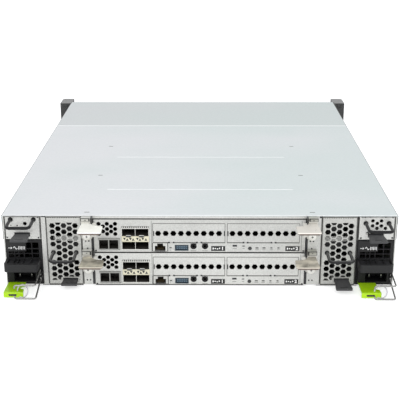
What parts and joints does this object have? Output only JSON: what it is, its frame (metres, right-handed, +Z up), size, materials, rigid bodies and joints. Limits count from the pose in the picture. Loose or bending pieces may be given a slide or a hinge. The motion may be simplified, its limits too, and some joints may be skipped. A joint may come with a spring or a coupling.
{
  "type": "disk shelf enclosure",
  "caption": "Rack-mount disk shelf chassis with slide-in controllers, fan modules, power supplies, battery modules and lever-locked disk carriers.",
  "frame": {"origin": "centre of the chassis underside, halfway between its rear and front edges", "axes": "+Z up, +Y from the rear modules towards the disk carriers, +X to the right seen from the rear"},
  "size_m": [0.4826, 0.6259, 0.0861],
  "materials": {
    "plated_steel": "satin zinc-plated sheet",
    "cover_paint": "satin painted sheet",
    "lever_steel": "bright nickel-plated sheet",
    "wire_steel": "bright drawn wire",
    "black_bar": "black coated rod",
    "black_moulding": "fine textured moulding",
    "grey_moulding": "fine textured moulding",
    "green_moulding": "satin moulding",
    "carrier_moulding": "satin moulding",
    "circuit_board": "solder-masked laminate with metal ports",
    "fan_plastic": "satin moulding"
  },
  "bodies": {
    "chassis": {"chassis_tray": "plated_steel", "front_cover": "cover_paint", "rear_cover": "cover_paint", "drive_cage": "plated_steel", "midplane_board": "circuit_board", "bay_partitions": "plated_steel", "ear_left": "grey_moulding", "ear_right": "grey_moulding"},
    "drive_01": {"drive_01": "carrier_moulding"},
    "drive_lever_01": {"drive_lever_01": "grey_moulding"},
    "drive_02": {"drive_02": "carrier_moulding"},
    "drive_lever_02": {"drive_lever_02": "grey_moulding"},
    "drive_03": {"drive_03": "carrier_moulding"},
    "drive_lever_03": {"drive_lever_03": "grey_moulding"},
    "drive_04": {"drive_04": "carrier_moulding"},
    "drive_lever_04": {"drive_lever_04": "grey_moulding"},
    "drive_05": {"drive_05": "carrier_moulding"},
    "drive_lever_05": {"drive_lever_05": "grey_moulding"},
    "drive_06": {"drive_06": "carrier_moulding"},
    "drive_lever_06": {"drive_lever_06": "grey_moulding"},
    "drive_07": {"drive_07": "carrier_moulding"},
    "drive_lever_07": {"drive_lever_07": "grey_moulding"},
    "drive_08": {"drive_08": "carrier_moulding"},
    "drive_lever_08": {"drive_lever_08": "grey_moulding"},
    "drive_09": {"drive_09": "carrier_moulding"},
    "drive_lever_09": {"drive_lever_09": "grey_moulding"},
    "drive_10": {"drive_10": "carrier_moulding"},
    "drive_lever_10": {"drive_lever_10": "grey_moulding"},
    "drive_11": {"drive_11": "carrier_moulding"},
    "drive_lever_11": {"drive_lever_11": "grey_moulding"},
    "drive_12": {"drive_12": "carrier_moulding"},
    "drive_lever_12": {"drive_lever_12": "grey_moulding"},
    "lower_controller": {"lower_controller_case": "plated_steel", "lower_controller_board": "circuit_board"},
    "lower_ejector_left": {"lower_ejector_left": "lever_steel"},
    "lower_ejector_right": {"lower_ejector_right": "lever_steel"},
    "upper_controller": {"upper_controller_case": "plated_steel", "upper_controller_board": "circuit_board"},
    "upper_ejector_left": {"upper_ejector_left": "lever_steel"},
    "upper_ejector_right": {"upper_ejector_right": "lever_steel"},
    "fan_left": {"fan_left_case": "plated_steel", "fan_left_handle": "black_bar"},
    "fan_left_latch": {"fan_left_latch": "grey_moulding"},
    "fan_left_lower_rotor": {"fan_left_lower_rotor": "fan_plastic"},
    "fan_left_upper_rotor": {"fan_left_upper_rotor": "fan_plastic"},
    "fan_right": {"fan_right_case": "plated_steel", "fan_right_handle": "black_bar"},
    "fan_right_latch": {"fan_right_latch": "grey_moulding"},
    "fan_right_lower_rotor": {"fan_right_lower_rotor": "fan_plastic"},
    "fan_right_upper_rotor": {"fan_right_upper_rotor": "fan_plastic"},
    "supply_left": {"supply_left_case": "black_moulding"},
    "supply_left_release": {"supply_left_release": "green_moulding"},
    "supply_left_clip": {"supply_left_clip": "wire_steel"},
    "battery_left": {"battery_left_case": "plated_steel"},
    "battery_left_latch": {"battery_left_latch": "grey_moulding"},
    "supply_right": {"supply_right_case": "black_moulding"},
    "supply_right_release": {"supply_right_release": "green_moulding"},
    "supply_right_clip": {"supply_right_clip": "wire_steel"},
    "battery_right": {"battery_right_case": "plated_steel"},
    "battery_right_latch": {"battery_right_latch": "grey_moulding"}
  },
  "joints": [
    {"name": "drive_01_slide", "type": "slide", "parent": "chassis", "child": "drive_01", "axis": [0, 1, 0], "range_m": [0, 0.175]},
    {"name": "drive_lever_01_hinge", "type": "hinge", "parent": "drive_01", "child": "drive_lever_01", "pos_m": [-0.11887, 0.276, 0.01518], "axis": [0, 0, 1], "range_deg": [-60, 0]},
    {"name": "drive_02_slide", "type": "slide", "parent": "chassis", "child": "drive_02", "axis": [0, 1, 0], "range_m": [0, 0.175]},
    {"name": "drive_lever_02_hinge", "type": "hinge", "parent": "drive_02", "child": "drive_lever_02", "pos_m": [-0.00863, 0.276, 0.01518], "axis": [0, 0, 1], "range_deg": [-60, 0]},
    {"name": "drive_03_slide", "type": "slide", "parent": "chassis", "child": "drive_03", "axis": [0, 1, 0], "range_m": [0, 0.175]},
    {"name": "drive_lever_03_hinge", "type": "hinge", "parent": "drive_03", "child": "drive_lever_03", "pos_m": [0.10162, 0.276, 0.01518], "axis": [0, 0, 1], "range_deg": [-60, 0]},
    {"name": "drive_04_slide", "type": "slide", "parent": "chassis", "child": "drive_04", "axis": [0, 1, 0], "range_m": [0, 0.175]},
    {"name": "drive_lever_04_hinge", "type": "hinge", "parent": "drive_04", "child": "drive_lever_04", "pos_m": [0.21188, 0.276, 0.01518], "axis": [0, 0, 1], "range_deg": [-60, 0]},
    {"name": "drive_05_slide", "type": "slide", "parent": "chassis", "child": "drive_05", "axis": [0, 1, 0], "range_m": [0, 0.175]},
    {"name": "drive_lever_05_hinge", "type": "hinge", "parent": "drive_05", "child": "drive_lever_05", "pos_m": [-0.11887, 0.276, 0.04315], "axis": [0, 0, 1], "range_deg": [-60, 0]},
    {"name": "drive_06_slide", "type": "slide", "parent": "chassis", "child": "drive_06", "axis": [0, 1, 0], "range_m": [0, 0.175]},
    {"name": "drive_lever_06_hinge", "type": "hinge", "parent": "drive_06", "child": "drive_lever_06", "pos_m": [-0.00863, 0.276, 0.04315], "axis": [0, 0, 1], "range_deg": [-60, 0]},
    {"name": "drive_07_slide", "type": "slide", "parent": "chassis", "child": "drive_07", "axis": [0, 1, 0], "range_m": [0, 0.175]},
    {"name": "drive_lever_07_hinge", "type": "hinge", "parent": "drive_07", "child": "drive_lever_07", "pos_m": [0.10162, 0.276, 0.04315], "axis": [0, 0, 1], "range_deg": [-60, 0]},
    {"name": "drive_08_slide", "type": "slide", "parent": "chassis", "child": "drive_08", "axis": [0, 1, 0], "range_m": [0, 0.175]},
    {"name": "drive_lever_08_hinge", "type": "hinge", "parent": "drive_08", "child": "drive_lever_08", "pos_m": [0.21188, 0.276, 0.04315], "axis": [0, 0, 1], "range_deg": [-60, 0]},
    {"name": "drive_09_slide", "type": "slide", "parent": "chassis", "child": "drive_09", "axis": [0, 1, 0], "range_m": [0, 0.175]},
    {"name": "drive_lever_09_hinge", "type": "hinge", "parent": "drive_09", "child": "drive_lever_09", "pos_m": [-0.11887, 0.276, 0.07112], "axis": [0, 0, 1], "range_deg": [-60, 0]},
    {"name": "drive_10_slide", "type": "slide", "parent": "chassis", "child": "drive_10", "axis": [0, 1, 0], "range_m": [0, 0.175]},
    {"name": "drive_lever_10_hinge", "type": "hinge", "parent": "drive_10", "child": "drive_lever_10", "pos_m": [-0.00863, 0.276, 0.07112], "axis": [0, 0, 1], "range_deg": [-60, 0]},
    {"name": "drive_11_slide", "type": "slide", "parent": "chassis", "child": "drive_11", "axis": [0, 1, 0], "range_m": [0, 0.175]},
    {"name": "drive_lever_11_hinge", "type": "hinge", "parent": "drive_11", "child": "drive_lever_11", "pos_m": [0.10162, 0.276, 0.07112], "axis": [0, 0, 1], "range_deg": [-60, 0]},
    {"name": "drive_12_slide", "type": "slide", "parent": "chassis", "child": "drive_12", "axis": [0, 1, 0], "range_m": [0, 0.175]},
    {"name": "drive_lever_12_hinge", "type": "hinge", "parent": "drive_12", "child": "drive_lever_12", "pos_m": [0.21188, 0.276, 0.07112], "axis": [0, 0, 1], "range_deg": [-60, 0]},
    {"name": "lower_controller_slide", "type": "slide", "parent": "chassis", "child": "lower_controller", "axis": [0, -1, 0], "range_m": [0, 0.34]},
    {"name": "lower_ejector_left_hinge", "type": "hinge", "parent": "lower_controller", "child": "lower_ejector_left", "pos_m": [-0.1285, -0.2845, 0.0376], "axis": [0, 0, 1], "range_deg": [-25, 0]},
    {"name": "lower_ejector_right_hinge", "type": "hinge", "parent": "lower_controller", "child": "lower_ejector_right", "pos_m": [0.1285, -0.2845, 0.0376], "axis": [0, 0, 1], "range_deg": [0, 25]},
    {"name": "upper_controller_slide", "type": "slide", "parent": "chassis", "child": "upper_controller", "axis": [0, -1, 0], "range_m": [0, 0.34]},
    {"name": "upper_ejector_left_hinge", "type": "hinge", "parent": "upper_controller", "child": "upper_ejector_left", "pos_m": [-0.1285, -0.2845, 0.0785], "axis": [0, 0, 1], "range_deg": [-25, 0]},
    {"name": "upper_ejector_right_hinge", "type": "hinge", "parent": "upper_controller", "child": "upper_ejector_right", "pos_m": [0.1285, -0.2845, 0.0785], "axis": [0, 0, 1], "range_deg": [0, 25]},
    {"name": "fan_left_slide", "type": "slide", "parent": "chassis", "child": "fan_left", "axis": [0, -1, 0], "range_m": [0, 0.15]},
    {"name": "fan_left_latch_hinge", "type": "hinge", "parent": "fan_left", "child": "fan_left_latch", "pos_m": [-0.1487, -0.276, 0.0066], "axis": [1, 0, 0], "range_deg": [-6, 0], "stiffness_Nm_per_rad": 0.05},
    {"name": "fan_left_lower_rotor_spin", "type": "hinge", "parent": "fan_left", "child": "fan_left_lower_rotor", "pos_m": [-0.1537, -0.25, 0.0219], "axis": [0, 1, 0], "continuous": true},
    {"name": "fan_left_upper_rotor_spin", "type": "hinge", "parent": "fan_left", "child": "fan_left_upper_rotor", "pos_m": [-0.1537, -0.25, 0.0637], "axis": [0, 1, 0], "continuous": true},
    {"name": "fan_right_slide", "type": "slide", "parent": "chassis", "child": "fan_right", "axis": [0, -1, 0], "range_m": [0, 0.15]},
    {"name": "fan_right_latch_hinge", "type": "hinge", "parent": "fan_right", "child": "fan_right_latch", "pos_m": [0.1633, -0.276, 0.0066], "axis": [1, 0, 0], "range_deg": [-6, 0], "stiffness_Nm_per_rad": 0.05},
    {"name": "fan_right_lower_rotor_spin", "type": "hinge", "parent": "fan_right", "child": "fan_right_lower_rotor", "pos_m": [0.1583, -0.25, 0.0219], "axis": [0, 1, 0], "continuous": true},
    {"name": "fan_right_upper_rotor_spin", "type": "hinge", "parent": "fan_right", "child": "fan_right_upper_rotor", "pos_m": [0.1583, -0.25, 0.0637], "axis": [0, 1, 0], "continuous": true},
    {"name": "supply_left_slide", "type": "slide", "parent": "chassis", "child": "supply_left", "axis": [0, -1, 0], "range_m": [0, 0.34]},
    {"name": "supply_left_release_hinge", "type": "hinge", "parent": "supply_left", "child": "supply_left_release", "pos_m": [-0.2083, -0.275, 0.0059], "axis": [0, 0, 1], "range_deg": [0, 6], "stiffness_Nm_per_rad": 0.1},
    {"name": "supply_left_clip_hinge", "type": "hinge", "parent": "supply_left", "child": "supply_left_clip", "pos_m": [-0.1824, -0.2836, 0.015], "axis": [0, 0, 1], "range_deg": [0, 35]},
    {"name": "battery_left_slide", "type": "slide", "parent": "chassis", "child": "battery_left", "axis": [0, -1, 0], "range_m": [0, 0.34]},
    {"name": "battery_left_latch_hinge", "type": "hinge", "parent": "battery_left", "child": "battery_left_latch", "pos_m": [-0.2011, -0.276, 0.0628], "axis": [1, 0, 0], "range_deg": [-6, 0], "stiffness_Nm_per_rad": 0.05},
    {"name": "supply_right_slide", "type": "slide", "parent": "chassis", "child": "supply_right", "axis": [0, -1, 0], "range_m": [0, 0.34]},
    {"name": "supply_right_release_hinge", "type": "hinge", "parent": "supply_right", "child": "supply_right_release", "pos_m": [0.1923, -0.275, 0.0059], "axis": [0, 0, 1], "range_deg": [0, 6], "stiffness_Nm_per_rad": 0.1},
    {"name": "supply_right_clip_hinge", "type": "hinge", "parent": "supply_right", "child": "supply_right_clip", "pos_m": [0.2182, -0.2836, 0.015], "axis": [0, 0, 1], "range_deg": [0, 35]},
    {"name": "battery_right_slide", "type": "slide", "parent": "chassis", "child": "battery_right", "axis": [0, -1, 0], "range_m": [0, 0.34]},
    {"name": "battery_right_latch_hinge", "type": "hinge", "parent": "battery_right", "child": "battery_right_latch", "pos_m": [0.1995, -0.276, 0.0621], "axis": [1, 0, 0], "range_deg": [-6, 0], "stiffness_Nm_per_rad": 0.05}
  ]
}
